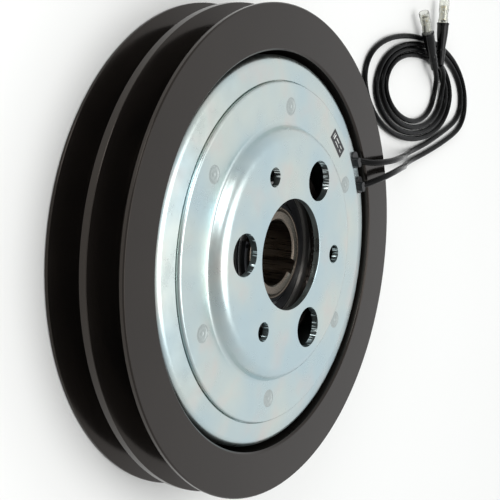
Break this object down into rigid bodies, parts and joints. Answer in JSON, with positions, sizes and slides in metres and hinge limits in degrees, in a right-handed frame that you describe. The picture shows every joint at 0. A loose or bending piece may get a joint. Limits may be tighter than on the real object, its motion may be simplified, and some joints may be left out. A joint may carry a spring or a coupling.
{
  "type": "electromagnetic clutch",
  "caption": "Electromagnetic clutch: V-belt pulley on a ball bearing, keyed hub, sprung armature and a stationary coil on a domed plate.",
  "frame": {"origin": "on the shaft axis, in the plane of the pulley's front rim that the clutch stands on", "axes": "+Z along the shaft axis from the armature side to the mounting plate; the leads leave towards +Y"},
  "size_m": [0.2654, 0.38, 0.0464],
  "materials": {
    "zinc_plate": "bright zinc plating over pressed steel, satin with faint iridescence",
    "zinc_shell": "bright zinc plating over turned steel",
    "bobbin_nylon": "moulded nylon",
    "winding_copper": "enamelled copper wire",
    "potting_resin": "cast epoxy",
    "label_print": "printed film",
    "grommet_rubber": "moulded rubber",
    "lead_pvc": "extruded PVC wire covering",
    "boot_pvc": "dipped vinyl, glossy",
    "sleeve_clear": "clear vinyl tube",
    "terminal_tin": "tin plated brass",
    "hub_steel": "turned and broached steel, lightly oiled",
    "spring_steel": "phosphated spring steel",
    "bearing_steel": "ground bearing steel",
    "flange_paint": "black paint, semi-gloss",
    "stop_zinc": "zinc plated sheet steel",
    "bumper_rubber": "moulded rubber",
    "rivet_steel": "cold headed steel",
    "spring_strip": "blued spring strip",
    "armature_steel": "ground steel disc",
    "pulley_paint": "black paint over turned iron, satin gloss",
    "seal_rubber": "moulded nitrile",
    "ball_steel": "polished steel balls",
    "cage_nylon": "moulded glass-filled nylon"
  },
  "bodies": {
    "field": {"mounting_plate": "zinc_plate", "coil_shell": "zinc_shell", "coil_bobbin": "bobbin_nylon", "coil_winding": "winding_copper", "coil_potting": "potting_resin", "rating_label": "label_print", "lead_grommets": "grommet_rubber", "lead_a": "lead_pvc", "lead_b": "lead_pvc", "lead_loops": "lead_pvc", "boot_a": "boot_pvc", "boot_b": "boot_pvc", "sleeve_a": "sleeve_clear", "sleeve_b": "sleeve_clear", "terminal_a": "terminal_tin", "terminal_b": "terminal_tin"},
    "hub": {"hub_sleeve": "hub_steel", "hub_retaining_ring": "spring_steel", "bearing_inner_ring": "bearing_steel", "drive_flange": "flange_paint", "stop_plate": "stop_zinc", "stop_bumpers": "bumper_rubber", "hub_rivets": "rivet_steel", "leaf_springs": "spring_strip"},
    "armature": {"armature_plate": "armature_steel", "armature_rivets": "rivet_steel"},
    "pulley": {"rotor_pulley": "pulley_paint", "bearing_outer_ring": "bearing_steel", "bearing_seals": "seal_rubber", "bearing_retaining_ring": "spring_steel"},
    "ball_set": {"bearing_balls": "ball_steel", "bearing_cages": "cage_nylon"}
  },
  "joints": [
    {"name": "hub_spin", "type": "hinge", "parent": "field", "child": "hub", "pos_m": [0, 0, 0.0226], "axis": [0, 0, 1], "continuous": true},
    {"name": "pulley_spin", "type": "hinge", "parent": "hub", "child": "pulley", "pos_m": [0, 0, 0.0226], "axis": [0, 0, 1], "continuous": true},
    {"name": "ball_set_spin", "type": "hinge", "parent": "hub", "child": "ball_set", "pos_m": [0, 0, 0.0226], "axis": [0, 0, 1], "continuous": true},
    {"name": "armature_slide", "type": "slide", "parent": "hub", "child": "armature", "axis": [0, 0, 1], "range_m": [0, 0.0007], "stiffness_N_per_m": 30000, "springref_m": -0.001, "deforming": ["leaf_springs"]}
  ],
  "couplings": [
    {"joint": "ball_set_spin", "follows": "pulley_spin", "ratio": 0.566}
  ]
}
